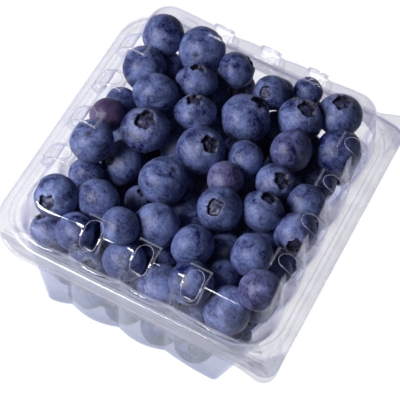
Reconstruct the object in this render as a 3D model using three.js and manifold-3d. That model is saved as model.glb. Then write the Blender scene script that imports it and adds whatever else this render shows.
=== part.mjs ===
// Punnet of blueberries: a clear plastic clamshell, shut, full of berries.
//
// Millimetres, +Z up. The origin is the middle of the footprint, on the table.
// The base and the lid are thin shells that meet at their flanges. The lid is hinged
// along the flange's -X side and is pulled open by the two corner tabs on the +X side.

import * as THREE from 'three';
import { mergeVertices } from 'three/addons/utils/BufferGeometryUtils.js';
import Module from 'manifold-3d';

const wasm = await Module();
wasm.setup();

// ---------------------------------------------------------------- driving sizes

const HEIGHT = 70.4;                    // table to the lid's panel
const SEAM_Z = 50;                      // where the two flanges meet
const SHELL = 0.7;                      // thickness of the plastic
const GAP = 0.3;                        // between pieces that touch

// Outlines are rounded rectangles: r is the corner radius, rHinge the one at -X.
const FLANGE = { x: 121, y: 133, r: 6, rHinge: 19 };
const BASE_FOOT = { x: 76, y: 98, r: 3, rHinge: 3 };
const BASE_TOP = { x: 105.3, y: 118.4, r: 15, rHinge: 15 };
const LID_FOOT = { x: 106.5, y: 119.6, r: 15, rHinge: 15 };
const LID_TOP = { x: 97.8, y: 114, r: 9, rHinge: 9 };
const EDGE = 1.3;                       // rounding of the base's foot
const LID_EDGE = 2.6;                   // rounding of the lid's top edge
const KNEE = 0.29;                      // where a rounded edge is half-way round it
const LIP = { height: 2.2, width: 1.2 }; // the base flange turns down at its edge
const BEAD = { from: 1.5, to: 4.2, height: 1.1 }; // raised rib round the lid's foot

const PITCH = 20.5;                     // from one vent to the next
const FRONT_VENTS = [-1, 0, 1];         // in pitches from the middle of a side
const SIDE_VENTS = [-1.5, -0.5, 0.5, 1.5];
const CREASE_BEFORE_VENT = 6.5;         // the walls are creased beside each vent
const LOBE_DEPTH = { base: 2.2, lid: 0.9 };
// A vent is a raised rib over the lid's shoulder: it starts inset from the panel's edge,
// is level up to flat from it, and curves down the wall to its drop.
const VENT = { width: 8.5, inset: 7.8, rise: 0.8, flat: 4.5, foot: 1.6 };
const VENT_DROP = { front: 7.2, side: 6.6 };
const VENT_REACH = { front: 3.4, side: 4.3 }; // how far it stands out from the panel's edge
// The hole along the crest. Those of the back wall end sooner, after a share of it.
const SLOT = { width: 6.6, inset: 6.2, margin: 0.3, backShare: 0.66 };
const DRAIN = { width: 5, length: 14, pitch: 24, rows: [-1, 0, 1], columns: [-0.5, 0.5] };

// The berries that lie uppermost: the middle (x, y, z) and the diameter of each.
const TOP_BERRIES = [
  [-43.7, 47.8, 61, 16.3], [-27.8, 52.2, 60, 18.2], [-45.7, 30.9, 56.1, 16.9],
  [-34.7, 40.9, 53, 11.2], [-31.5, 19.4, 60.5, 17.1], [-20.8, 34.7, 61.3, 15.7],
  [-45.7, 17.1, 49.4, 11.8], [-44.7, 5.6, 53.2, 13.1], [-44.8, -13, 59.9, 16.3],
  [-27.5, 2.7, 59.9, 18.3], [-31.2, -6.9, 46.2, 17], [-39.8, -19.9, 47.3, 13.4],
  [-42.7, -42.3, 59.7, 16], [-27.6, -35.9, 60, 15.6], [-10.6, -15.6, 60.2, 17.6],
  [-14.3, 19.4, 61.1, 15.9], [-4.5, 4.2, 59.9, 18.3], [-16.6, -19.9, 48.2, 11.5],
  [-9.5, 47, 60.8, 14.2], [7.4, 42.1, 62.4, 13.2], [8.9, 53.9, 54.3, 12.6],
  [4.1, 28.9, 59.4, 19.3], [23.1, 39.8, 60.5, 17.1], [19.8, 51.7, 61.8, 11],
  [34.6, 53.4, 60.6, 17.2], [25.7, 22.5, 61, 16.2], [43.6, 34.4, 57.4, 17.8],
  [11.9, 10.3, 59.5, 13.8], [9.4, -2.6, 60.1, 13.6], [26.5, 6.2, 60, 14.4],
  [40.3, 5, 57.3, 15.1], [-14.5, -44, 62, 13.9], [-3.1, -34.3, 58.5, 17],
  [-9, -50.5, 52, 15.5], [-29.4, -51, 56.6, 14], [17.2, -49.8, 56.7, 16.1],
  [11.7, -35.9, 59.3, 15.5], [13.4, -16.5, 60.6, 16.5], [27.7, -8.5, 60.1, 15.8],
  [32.6, -27.9, 60, 15.5], [43.2, -9.1, 57.3, 15.8], [42.3, -22.3, 50, 11.2],
  [41.4, -42.1, 61.4, 15.2], [25.3, -35.1, 50, 12.6], [34.3, -49.1, 51.1, 17.6],
];
// The rest fill the punnet below them in layers.
const LAYERS = [9.5, 22, 34.5, 47];     // heights of the layers' middles
const SPACING = { x: 15.5, y: 14 };     // between berries of a layer
const SIZES = { least: 12.5, most: 17 }; // their diameters
const SCATTER = 2;                      // the most that one is set off its place
const SEED = 7;
const SETTLING = { rounds: 60, yieldOfTop: 0.12, closeness: 0.95 };
const BERRY_CLEARANCE = 0.75;           // between a berry and the plastic
const WALL_SLANT = 1.08;                // reach along a sloping wall against square on
const BALL_GROWTH = { top: 1.02, below: 1.05 }; // makes up for a faceted ball's flat faces
const CORE = { depth: 6, top: 51 };      // the middle of the heap, behind its outer berries

// The two tabs are the flange's +X corners, bent about a crease: x + |y| on the crease,
// and each tab's rise or fall for each mm of x + |y| past it.
const TAB_CREASE = 113.5;
const BASE_TABS = { front: -0.35, back: -0.15 };
const LID_TABS = { front: -0.2, back: 0.5 };

// ---------------------------------------------------------------- outline rings

const CORNER_STEPS = 4;
const CREST_STEPS = 3;
const LOBE_STEPS = 3;
const START_STEPS = [0, 0.5];           // parts of the way from a corner to a crease
const END_STEPS = [0, 0.5, 1];          // and of the way from a crease to a corner

// Stations along a straight side: a place, and how far it is drawn in, 0 to 1.
// The wall is a row of shallow lobes that meet in sharp creases.
function sideStations(start, end, vents) {
  const creases = vents.map((v) => v * PITCH - CREASE_BEFORE_VENT);
  const last = creases[creases.length - 1];
  const stations = [];
  for (const u of START_STEPS) {
    stations.push([start + u * (creases[0] - start), u * u]);
  }
  for (let c = 0; c + 1 < creases.length; c++) {
    for (let i = 0; i < LOBE_STEPS; i++) {
      const u = i / LOBE_STEPS;
      stations.push([creases[c] + u * PITCH, (2 * u - 1) ** 2]);
    }
  }
  for (const u of END_STEPS) {
    stations.push([last + u * (end - last), (1 - u) ** 2]);
  }
  return stations;
}

// One closed ring at height z, counter-clockwise from above. Each side is made as
// the front is, along +X at -Y, and turned on by quarters.
function ring({ x, y, r, rHinge, z, lobe = 0, tabs }) {
  const sides = [
    { length: x, out: y / 2, radii: [rHinge, r], vents: FRONT_VENTS },
    { length: y, out: x / 2, radii: [r, r], vents: SIDE_VENTS },
    { length: x, out: y / 2, radii: [r, rHinge], vents: FRONT_VENTS },
    { length: y, out: x / 2, radii: [rHinge, rHinge], vents: SIDE_VENTS },
  ];
  const points = [];
  sides.forEach(({ length, out, radii, vents }, quarter) => {
    const place = (along, outward) => {
      const point = new THREE.Vector3(along, -outward, z);
      point.applyAxisAngle(new THREE.Vector3(0, 0, 1), (quarter * Math.PI) / 2);
      points.push(point);
    };
    const start = radii[0] - length / 2;
    const end = length / 2 - radii[1];
    for (const [along, inward] of sideStations(start, end, vents)) {
      place(along, out - lobe * inward);
    }
    for (let i = 1; i < CORNER_STEPS; i++) {
      const angle = ((i / CORNER_STEPS) * Math.PI) / 2;
      place(end + radii[1] * Math.sin(angle), out - radii[1] * (1 - Math.cos(angle)));
    }
  });
  if (tabs) points.forEach((point) => bendTab(point, tabs));
  return points;
}

// Past the crease, a ring marked crease stops on it, and any other bends by so much
// for each mm, up or down.
function bendTab(point, { front, back, crease }) {
  const past = point.x + Math.abs(point.y) - TAB_CREASE;
  if (past <= 0) return;
  if (crease) {
    point.x -= past / 2;
    point.y -= (Math.sign(point.y) * past) / 2;
  } else {
    point.z += past * (point.y < 0 ? front : back);
  }
}

function inset(outline, d) {
  const shrink = (radius) => Math.max(radius - d, 1);
  return {
    ...outline,
    x: outline.x - 2 * d,
    y: outline.y - 2 * d,
    r: shrink(outline.r),
    rHinge: shrink(outline.rHinge),
  };
}

// ---------------------------------------------------------------- solids

function solid(geometry) {
  geometry.deleteAttribute('normal');
  geometry.deleteAttribute('uv');
  const merged = mergeVertices(geometry);
  return new wasm.Manifold(new wasm.Mesh({
    numProp: 3,
    vertProperties: merged.attributes.position.array,
    triVerts: new Uint32Array(merged.index.array),
  }));
}

function geometryOf(body) {
  const mesh = body.getMesh();
  const geometry = new THREE.BufferGeometry();
  geometry.setAttribute('position', new THREE.BufferAttribute(mesh.vertProperties, 3));
  geometry.setIndex(new THREE.BufferAttribute(mesh.triVerts, 1));
  return geometry;
}

const cutAll = (body, cutters) => cutters.reduce((left, cutter) => left.subtract(cutter), body);
const joinAll = (body, others) => others.reduce((joined, other) => joined.add(other), body);

// Two triangles that split a quad along its shorter diagonal.
function splitQuad([a, b, c, d], vertices) {
  const short = vertices[a].distanceTo(vertices[c]) < vertices[b].distanceTo(vertices[d]);
  return short ? [a, b, c, a, c, d] : [a, b, d, b, c, d];
}

// A closed solid through rings from the lower middle out and back to the upper middle.
function stack(levels) {
  const rings = levels.map(ring);
  const n = rings[0].length;
  const vertices = rings.flat();
  const lower = vertices.push(new THREE.Vector3(0, 0, levels[0].z)) - 1;
  const upper = vertices.push(new THREE.Vector3(0, 0, levels[levels.length - 1].z)) - 1;
  const lastRing = (rings.length - 1) * n;
  const index = [];
  for (let j = 0; j < n; j++) {
    const next = (j + 1) % n;
    for (let k = 0; k < lastRing; k += n) {
      index.push(...splitQuad([k + j, k + next, k + next + n, k + j + n], vertices));
    }
    index.push(lower, next, j, upper, lastRing + j, lastRing + next);
  }
  const geometry = new THREE.BufferGeometry().setFromPoints(vertices);
  geometry.setIndex(index);
  return solid(geometry);
}

// ---------------------------------------------------------------- base

function makeBase() {
  const top = SEAM_Z - GAP / 2;
  const under = top - SHELL;
  const tabs = BASE_TABS;
  const crease = { crease: true };
  const body = stack([
    { ...inset(BASE_FOOT, EDGE), z: 0, lobe: LOBE_DEPTH.base },
    { ...BASE_FOOT, z: EDGE, lobe: LOBE_DEPTH.base },
    { ...BASE_TOP, z: under - GAP, lobe: LOBE_DEPTH.base },
    { ...inset(FLANGE, LIP.width + SHELL), z: under, tabs: crease },
    { ...inset(FLANGE, LIP.width), z: top - LIP.height, tabs },
    { ...FLANGE, z: top - LIP.height, tabs },
    { ...FLANGE, z: top, tabs },
    { ...inset(FLANGE, LIP.width), z: top, tabs: crease },
    { ...LID_FOOT, z: top },
  ]);
  const hollow = stack([
    { ...inset(BASE_FOOT, EDGE + SHELL), z: SHELL, lobe: LOBE_DEPTH.base },
    { ...inset(BASE_FOOT, SHELL), z: EDGE + SHELL, lobe: LOBE_DEPTH.base },
    { ...inset(BASE_TOP, SHELL), z: under - GAP, lobe: LOBE_DEPTH.base },
    { ...inset(BASE_TOP, SHELL), z: HEIGHT, lobe: LOBE_DEPTH.base },
  ]);
  return cutAll(body.subtract(hollow), drains());
}

// Oblong drain holes through the floor.
function drains() {
  const holes = [];
  for (const row of DRAIN.rows) {
    for (const column of DRAIN.columns) {
      const hole = pill(DRAIN.length, DRAIN.width, 4 * SHELL);
      hole.translate(column * DRAIN.pitch, row * DRAIN.pitch, -SHELL);
      holes.push(solid(hole));
    }
  }
  return holes;
}

// A straight bar with round ends, long in Y, from z = 0 up to the given depth.
function pill(length, width, depth) {
  const radius = width / 2;
  const reach = length / 2 - radius;
  const shape = new THREE.Shape();
  shape.absarc(0, reach, radius, 0, Math.PI, false);
  shape.absarc(0, -reach, radius, Math.PI, 2 * Math.PI, false);
  return new THREE.ExtrudeGeometry(shape, { depth, bevelEnabled: false, curveSegments: 4 });
}

// ---------------------------------------------------------------- lid

function makeLid() {
  const under = SEAM_Z + GAP / 2;
  const top = under + SHELL;
  const tabs = LID_TABS;
  const crease = { crease: true };
  const body = stack([
    { ...inset(FLANGE, LIP.width), z: under, tabs: crease },
    { ...FLANGE, z: under, tabs },
    { ...FLANGE, z: top, tabs },
    { ...inset(FLANGE, LIP.width), z: top, tabs: crease },
    { ...inset(LID_FOOT, -BEAD.to), z: top },
    { ...inset(LID_FOOT, -BEAD.to + SHELL), z: top + BEAD.height },
    { ...inset(LID_FOOT, -BEAD.from), z: top },
    { ...LID_FOOT, z: top + GAP, lobe: LOBE_DEPTH.lid },
    { ...LID_TOP, z: HEIGHT - LID_EDGE, lobe: LOBE_DEPTH.lid },
    { ...inset(LID_TOP, KNEE * LID_EDGE), z: HEIGHT - KNEE * LID_EDGE, lobe: LOBE_DEPTH.lid },
    { ...inset(LID_TOP, LID_EDGE), z: HEIGHT, lobe: LOBE_DEPTH.lid },
  ]);
  const hollow = stack([
    { ...inset(LID_FOOT, SHELL), z: 0, lobe: LOBE_DEPTH.lid },
    { ...inset(LID_FOOT, SHELL), z: top, lobe: LOBE_DEPTH.lid },
    { ...inset(LID_TOP, SHELL), z: HEIGHT - LID_EDGE, lobe: LOBE_DEPTH.lid },
    { ...inset(LID_TOP, LID_EDGE), z: HEIGHT - SHELL, lobe: LOBE_DEPTH.lid },
  ]);
  const vents = ventPlaces();
  const outside = joinAll(body, vents.map((vent) => rib(vent, 0)));
  const inside = joinAll(hollow, vents.map((vent) => rib(vent, SHELL)));
  return cutAll(outside.subtract(inside), vents.map(slot));
}

// The lid's four walls: the turn from the front, and the wall's distance out at its
// foot and at the lid's top.
function lidWalls() {
  return [0, 1, 2, 3].map((quarter) => {
    const axis = quarter % 2 ? 'x' : 'y';
    return {
      turn: (quarter * Math.PI) / 2,
      vents: quarter % 2 ? SIDE_VENTS : FRONT_VENTS,
      drop: quarter % 2 ? VENT_DROP.side : VENT_DROP.front,
      reach: quarter % 2 ? VENT_REACH.side : VENT_REACH.front,
      slotShare: quarter === 2 ? SLOT.backShare : 1,
      foot: LID_FOOT[axis] / 2,
      top: LID_TOP[axis] / 2,
    };
  });
}

const ventPlaces = () => lidWalls().flatMap(
  (wall) => wall.vents.map((v) => ({ ...wall, along: v * PITCH })),
);

// The distance out of a wall at height z.
function wallAt(wall, z) {
  return wall.foot + ((wall.top - wall.foot) * (z - SEAM_Z)) / (HEIGHT - LID_EDGE - SEAM_Z);
}

// The crest of a vent, from the panel down to the wall, as (out, z) points. It lies
// deeper by the given depth.
function ventCrest(vent, depth) {
  const crown = HEIGHT + VENT.rise - depth;
  const back = vent.top - VENT.inset;
  const bend = vent.top - VENT.flat;
  const outermost = vent.top + vent.reach - depth;
  const low = HEIGHT - vent.drop;
  const crest = [new THREE.Vector2(back + depth, HEIGHT - depth)];
  crest.push(new THREE.Vector2(back + VENT.rise + depth, crown));
  for (let i = 0; i <= CREST_STEPS; i++) {
    const angle = ((1 - i / CREST_STEPS) * Math.PI) / 2;
    crest.push(new THREE.Vector2(
      bend + (outermost - bend) * Math.cos(angle),
      low + (crown - low) * Math.sin(angle),
    ));
  }
  crest.push(new THREE.Vector2(wallAt(vent, low - VENT.foot) - depth, low - VENT.foot));
  return crest;
}

function atWall(geometry, wall) {
  geometry.translate(wall.along, 0, 0);
  geometry.rotateZ(wall.turn);
  return solid(geometry);
}

// The rib of a vent, as far as its crest and closed off inside the lid's wall. The
// outline lies in the upright plane across the wall, and it is extruded along the wall.
function rib(vent, depth) {
  const crest = ventCrest(vent, depth);
  const [back, low] = [crest[0], crest[crest.length - 1]];
  const shape = new THREE.Shape([
    new THREE.Vector2(back.x, back.y - SHELL),
    ...crest,
    new THREE.Vector2(low.x - SHELL, low.y),
    new THREE.Vector2(low.x - VENT.flat, HEIGHT - VENT.flat),
  ]);
  const width = VENT.width - 2 * depth;
  const geometry = new THREE.ExtrudeGeometry(shape, { depth: width, bevelEnabled: false });
  geometry.translate(0, 0, -width / 2);
  geometry.applyMatrix4(new THREE.Matrix4().makeBasis(
    new THREE.Vector3(0, -1, 0), new THREE.Vector3(0, 0, 1), new THREE.Vector3(-1, 0, 0),
  ));
  return atWall(geometry, vent);
}

// The open vent: an oblong hole, square to the line between the ends of the crest's bend.
function slot(vent) {
  const crest = ventCrest(vent, 0);
  const inner = new THREE.Vector2(vent.top - SLOT.inset, crest[1].y);
  const outer = crest[crest.length - 2];
  const slope = outer.clone().sub(inner).multiplyScalar(vent.slotShare);
  const middle = inner.clone().addScaledVector(slope, 0.5);
  const depth = VENT.inset;
  const geometry = pill(slope.length() - 2 * SLOT.margin, SLOT.width, depth);
  geometry.translate(0, 0, -2 * SHELL);
  geometry.rotateX(-slope.angle());
  geometry.translate(0, -middle.x, middle.y);
  return atWall(geometry, vent);
}

// ---------------------------------------------------------------- berries

// Half the inside of the closed punnet at height z, and its corner radius.
function roomAt(z) {
  const inBase = z < SEAM_Z;
  const [low, high] = inBase ? [BASE_FOOT, BASE_TOP] : [LID_FOOT, LID_TOP];
  const u = inBase ? z / SEAM_Z : (z - SEAM_Z) / (HEIGHT - SEAM_Z);
  return {
    x: (low.x + (high.x - low.x) * u) / 2 - SHELL,
    y: (low.y + (high.y - low.y) * u) / 2 - SHELL,
    corner: low.r + (high.r - low.r) * u,
  };
}

// How far a wall is drawn in at a place along it, where the deepest is 1.
function drawnIn(along, vents) {
  const fromCrease = along - vents[0] * PITCH + CREASE_BEFORE_VENT;
  const u = fromCrease / PITCH - Math.floor(fromCrease / PITCH);
  return Math.abs(2 * u - 1);
}

// Keeps a berry clear of the floor, the top, the walls and the rounded corners.
function confine(berry) {
  const need = berry.radius + BERRY_CLEARANCE;
  berry.z = Math.min(Math.max(berry.z, SHELL + need), HEIGHT - SHELL - need);
  const room = roomAt(berry.z);
  const lobe = berry.z < SEAM_Z + need ? LOBE_DEPTH.base : LOBE_DEPTH.lid;
  const alongFront = berry.y < 0 ? berry.x : -berry.x;
  const alongSide = berry.x < 0 ? -berry.y : berry.y;
  const reachX = room.x - need * WALL_SLANT - lobe * drawnIn(alongSide, SIDE_VENTS);
  const reachY = room.y - need * WALL_SLANT - lobe * drawnIn(alongFront, FRONT_VENTS);
  berry.x = Math.min(Math.max(berry.x, -reachX), reachX);
  berry.y = Math.min(Math.max(berry.y, -reachY), reachY);
  const radius = Math.max(room.corner - need, 0);
  const pastX = Math.abs(berry.x) - (reachX - radius);
  const pastY = Math.abs(berry.y) - (reachY - radius);
  const past = Math.sqrt(pastX * pastX + pastY * pastY);
  if (pastX > 0 && pastY > 0 && past > radius) {
    berry.x -= Math.sign(berry.x) * pastX * (1 - radius / past);
    berry.y -= Math.sign(berry.y) * pastY * (1 - radius / past);
  }
}

function makeRandom(seed) {
  let state = seed;
  return () => {
    state = (state * 16807) % 2147483647;
    return state / 2147483647;
  };
}

// The top berries, then those of each layer that fit below them.
function placeBerries() {
  const berries = TOP_BERRIES.map(([x, y, z, size]) => (
    { x, y, z, radius: size / 2, yields: SETTLING.yieldOfTop, top: true }
  ));
  const random = makeRandom(SEED);
  const spread = (middle, half) => middle + half * (2 * random() - 1);
  LAYERS.forEach((height, layer) => {
    const room = roomAt(height);
    const rows = Math.floor(room.y / SPACING.y);
    const columns = Math.floor(room.x / SPACING.x) + 1;
    for (let row = -rows; row <= rows; row++) {
      for (let column = -columns; column <= columns; column++) {
        const shift = (row + layer) % 2 === 0 ? 0 : 0.5;
        const berry = {
          x: spread((column + shift) * SPACING.x, SCATTER),
          y: spread((row / rows) * (room.y - SIZES.most / 2), SCATTER),
          z: spread(height, SCATTER),
          radius: spread(SIZES.least + SIZES.most, SIZES.most - SIZES.least) / 4,
          yields: 1,
          top: false,
        };
        const inside = Math.abs(berry.x) < room.x - berry.radius / 2
          && Math.abs(berry.y) < room.y - berry.radius / 2;
        if (inside && !berries.some((other) => crowds(berry, other))) berries.push(berry);
      }
    }
  });
  return berries;
}

function distance(a, b) {
  const [dx, dy, dz] = [b.x - a.x, b.y - a.y, b.z - a.z];
  return Math.sqrt(dx * dx + dy * dy + dz * dz);
}

const crowds = (berry, other) => distance(berry, other) < 0.7 * (berry.radius + other.radius);

// Moves apart berries that overlap, those below more than those on top.
function settle(berries) {
  for (let round = 0; round < SETTLING.rounds; round++) {
    for (let i = 0; i < berries.length; i++) {
      for (let j = i + 1; j < berries.length; j++) {
        const [a, b] = [berries[i], berries[j]];
        const gap = distance(a, b);
        const push = (a.radius + b.radius) * SETTLING.closeness - gap;
        if (push > 0) {
          const share = push / gap / (a.yields + b.yields);
          for (const axis of ['x', 'y', 'z']) {
            const step = (b[axis] - a[axis]) * share;
            a[axis] -= step * a.yields;
            b[axis] += step * b.yields;
          }
        }
      }
    }
    berries.forEach(confine);
  }
  return berries;
}

// A berry counts where part of it is outside the heap's core.
function isOuter(berry) {
  const room = roomAt(berry.z);
  return berry.z > CORE.top || berry.z < CORE.depth + berry.radius
    || Math.abs(berry.x) > room.x - CORE.depth - berry.radius
    || Math.abs(berry.y) > room.y - CORE.depth - berry.radius;
}

// A four-sided frustum, CORE.depth inside the floor and the walls.
function makeCore() {
  const [low, high] = [CORE.depth, CORE.top];
  const core = new THREE.BoxGeometry(2, 2, high - low);
  core.translate(0, 0, (high + low) / 2);
  const corners = core.attributes.position;
  for (let i = 0; i < corners.count; i++) {
    const room = roomAt(corners.getZ(i));
    corners.setX(i, corners.getX(i) * (room.x - CORE.depth));
    corners.setY(i, corners.getY(i) * (room.y - CORE.depth));
  }
  return solid(core);
}

// A round berry of few faces, as large as the true one.
function makeBerry({ x, y, z, radius, top }) {
  const ball = top
    ? new THREE.IcosahedronGeometry(radius * BALL_GROWTH.top, 1)
    : new THREE.IcosahedronGeometry(radius * BALL_GROWTH.below, 0);
  ball.translate(x, y, z);
  return solid(ball);
}

// The fused heap, without sealed hollows or scrap.
function makeHeap() {
  const berries = settle(placeBerries()).filter(isOuter);
  const heap = berries.reduce((fused, berry) => fused.add(makeBerry(berry)), makeCore());
  return heap.decompose().reduce((a, b) => (b.volume() > a.volume() ? b : a));
}

// ---------------------------------------------------------------- the part

function piece(name, body, { color, roughness, opacity }) {
  const material = new THREE.MeshStandardMaterial({
    color, roughness, metalness: 0, opacity, transparent: opacity < 1,
  });
  const mesh = new THREE.Mesh(geometryOf(body), material);
  mesh.name = name;
  return mesh;
}

const CLEAR_PLASTIC = { color: 0xe4e8ee, roughness: 0.1, opacity: 0.35 };
const BERRY_SKIN = { color: 0x3d4a78, roughness: 0.6, opacity: 1 };

const group = new THREE.Group();
group.add(piece('punnet_base', makeBase(), CLEAR_PLASTIC));
group.add(piece('punnet_lid', makeLid(), CLEAR_PLASTIC));
group.add(piece('blueberries', makeHeap(), BERRY_SKIN));

export default group;
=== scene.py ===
# A punnet of blueberries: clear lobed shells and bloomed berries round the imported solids.
import math
import random

import bmesh
import bpy
import numpy as np
from mathutils import Matrix, Vector, noise


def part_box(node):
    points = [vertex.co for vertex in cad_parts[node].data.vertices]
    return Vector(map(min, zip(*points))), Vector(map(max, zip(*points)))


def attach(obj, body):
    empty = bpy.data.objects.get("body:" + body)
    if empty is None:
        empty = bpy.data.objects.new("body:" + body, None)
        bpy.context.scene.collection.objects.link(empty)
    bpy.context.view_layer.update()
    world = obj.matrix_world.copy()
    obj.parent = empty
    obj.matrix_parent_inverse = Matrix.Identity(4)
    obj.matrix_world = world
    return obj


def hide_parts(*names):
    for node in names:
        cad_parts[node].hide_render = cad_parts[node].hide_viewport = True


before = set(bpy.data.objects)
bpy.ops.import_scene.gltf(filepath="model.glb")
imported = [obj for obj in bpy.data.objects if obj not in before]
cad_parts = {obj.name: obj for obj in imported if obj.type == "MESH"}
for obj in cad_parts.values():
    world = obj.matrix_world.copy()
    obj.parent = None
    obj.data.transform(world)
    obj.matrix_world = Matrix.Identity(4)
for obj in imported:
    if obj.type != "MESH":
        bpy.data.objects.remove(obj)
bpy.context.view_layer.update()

# Shapes are worked out in millimetres, as the solids' source does. mesh_object() scales them.
MM = 0.001

# ---- sizes of the solids

SEAM_Z = 50.0  # the lid's flange lies on the base's flange here
SHELL = 0.7  # thickness of the solids' plastic
GAP = 0.3  # between the two flanges
EDGE = 1.3  # rounding of the base's foot
LID_EDGE = 2.6  # rounding of the lid's top edge
BEAD = {"from": 1.5, "to": 4.2, "height": 1.1}  # out from the foot of the lid's walls
LIP = {"height": 2.2, "width": 1.2}  # the base's down-turned rim
PITCH = 20.5  # from vent to vent, and from crease to crease
FRONT_VENTS = (-1, 0, 1)  # places along a wall, in pitches
SIDE_VENTS = (-1.5, -0.5, 0.5, 1.5)
CREASE_BEFORE_VENT = 6.5  # from a vent back to the crease before it
LOBE_DEPTH = {"base": 2.2, "lid": 0.9}  # how far in the creases lie
# A vent is a rib over the lid's edge, and a slot is the hole through it. Inset is from the top
# edge of the wall to where each starts on the panel.
VENT = {"width": 8.5, "inset": 7.8, "rise": 0.8, "flat": 4.5, "foot": 1.6}
SLOT = {"width": 6.6, "inset": 6.2, "margin": 0.3, "back_share": 0.66, "steps": 12}
DRAIN = {"width": 5.0, "length": 14.0, "pitch": 24.0, "steps": 10,
         "rows": (-1, 0, 1), "columns": (-0.5, 0.5)}
TAB_CREASE = 113.5  # x + |y| on the creases of the corner tabs
BASE_TABS = {"front": -0.35, "back": -0.15}  # rise over the way past the crease
LID_TABS = {"front": -0.2, "back": 0.5}

_, lid_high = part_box("punnet_lid")
base_low, base_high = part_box("punnet_base")
HEIGHT = round(lid_high.z / MM - VENT["rise"], 2)  # up to the lid's panel


class Outline:
    """A rounded rectangle: r is its corner radius, r_hinge the one at -X."""

    def __init__(self, x, y, r, r_hinge):
        self.x, self.y, self.r, self.r_hinge = x, y, r, r_hinge

    def inset(self, d):
        return Outline(self.x - 2 * d, self.y - 2 * d,
                       max(self.r - d, 1.0), max(self.r_hinge - d, 1.0))

    def towards(self, other, share):
        pairs = zip(vars(self).values(), vars(other).values())
        return Outline(*[a + (b - a) * share for a, b in pairs])


FLANGE = Outline(round((base_high.x - base_low.x) / MM, 2),
                 round((base_high.y - base_low.y) / MM, 2), 6, 19)
BASE_FOOT = Outline(76, 98, 3, 3)
BASE_TOP = Outline(105.3, 118.4, 15, 15)
LID_FOOT = Outline(106.5, 119.6, 15, 15)
LID_TOP = Outline(97.8, 114, 9, 9)

# The two kinds of wall: how far out the lid's stands at foot and top, how far its vents' bends
# reach down and out, how far along it creases and vents go, and where its bosses are.
WALLS = {
    "front": {"vents": FRONT_VENTS, "foot": LID_FOOT.y / 2, "top": LID_TOP.y / 2,
              "drop": 7.2, "reach": 3.4, "steady": 29.0,
              "bosses": (-36.5, 34.5), "boss_out": 58.0},
    "side": {"vents": SIDE_VENTS, "foot": LID_FOOT.x / 2, "top": LID_TOP.x / 2,
             "drop": 6.6, "reach": 4.3, "steady": 39.0,
             "bosses": (-45.5, 45.5), "boss_out": 51.0},
}
QUARTER_TURNS = ((1, 0), (0, 1), (-1, 0), (0, -1))  # to the front, right, back, hinged side

# ---- sizes of the fine shapes

SHEET = 0.45  # thickness of the fine shells
SHARP_ANGLE = 38  # degrees between faces, from which a shell's edge looks sharp
TINY = 1e-6  # keeps a division from dividing by nothing


# ---- camera

CAMERA = {"azimuth": 14.255, "elevation": 54.719, "roll": 14.157, "distance": 0.6996,
          "target": (0.0069, -0.0227, 0.070), "lens": 170.87}


def view_axes():
    """The camera's right, up and back directions."""
    az, el, roll = (math.radians(CAMERA[key]) for key in ("azimuth", "elevation", "roll"))
    back = Vector((math.sin(az) * math.cos(el), -math.cos(az) * math.cos(el), math.sin(el)))
    level = (-back).cross(Vector((0, 0, 1))).normalized()
    above = level.cross(-back)
    right = level * math.cos(roll) + above * math.sin(roll)
    up = above * math.cos(roll) - level * math.sin(roll)
    return right, up, back


def make_camera():
    right, up, back = view_axes()
    data = bpy.data.cameras.new("camera")
    data.lens = CAMERA["lens"]
    camera = bpy.data.objects.new("camera", data)
    camera.matrix_world = Matrix((right, up, back)).transposed().to_4x4()
    camera.location = Vector(CAMERA["target"]) + back * CAMERA["distance"]
    bpy.context.scene.collection.objects.link(camera)
    bpy.context.scene.camera = camera


# ---- meshes

def mesh_object(name, points, faces):
    """An object from points in millimetres."""
    mesh = bpy.data.meshes.new(name)
    mesh.from_pydata((np.asarray(points, float) * MM).tolist(), [], faces)
    mesh.validate()
    mesh.shade_smooth()
    mesh.update()
    obj = bpy.data.objects.new(name, mesh)
    bpy.context.scene.collection.objects.link(obj)
    return obj


def apply_modifiers(obj, sharp_angle=None):
    graph = bpy.context.evaluated_depsgraph_get()
    made = bpy.data.meshes.new_from_object(obj.evaluated_get(graph))
    made.materials.clear()
    obj.modifiers.clear()
    obj.data = made
    made.shade_smooth()
    if sharp_angle:
        made.set_sharp_from_angle(angle=math.radians(sharp_angle))
    made.update()


def set_attribute(obj, name, values):
    layer = obj.data.attributes.new(name, "FLOAT", "POINT")
    layer.data.foreach_set("value", np.asarray(values, np.float32))


def thicken(obj):
    """Gives a sheet its thickness, away from the side that its faces point to."""
    solidify = obj.modifiers.new("sheet", "SOLIDIFY")
    solidify.thickness = SHEET * MM
    solidify.offset = -1


def cut(obj, cutter):
    boolean = obj.modifiers.new("holes", "BOOLEAN")
    boolean.object = cutter
    boolean.operation = "DIFFERENCE"
    boolean.solver = "MANIFOLD"


def band(first, second):
    """The faces between two closed rings of as many points, given by their numbers."""
    n = len(first)
    return [(first[j], first[(j + 1) % n], second[(j + 1) % n], second[j]) for j in range(n)]


def smoothstep(low, high, value):
    t = np.clip((value - low) / (high - low), 0, 1)
    return t * t * (3 - 2 * t)


# ---- places on the walls

def wall_of(quarter):
    return WALLS["side" if quarter % 2 else "front"]


def along_and_out(x, y, quarter):
    """Distances from the punnet's middle: along a wall and out to it."""
    c, s = QUARTER_TURNS[quarter]
    return c * x + s * y, s * x - c * y


def wall_share(z):
    """How far up the lid's wall a height is: 0 at the seam, 1 at the top edge."""
    return (z - SEAM_Z) / (HEIGHT - LID_EDGE - SEAM_Z)


def creases_of(vents):
    return [v * PITCH - CREASE_BEFORE_VENT for v in vents]


def crease_share(along, vents):
    """How near a place is to a crease of the wall: 1 on it, 0 half-way to the next."""
    return abs(2 * (((along - vents[0] * PITCH + CREASE_BEFORE_VENT) / PITCH) % 1) - 1)


# ---- outline rings

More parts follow.
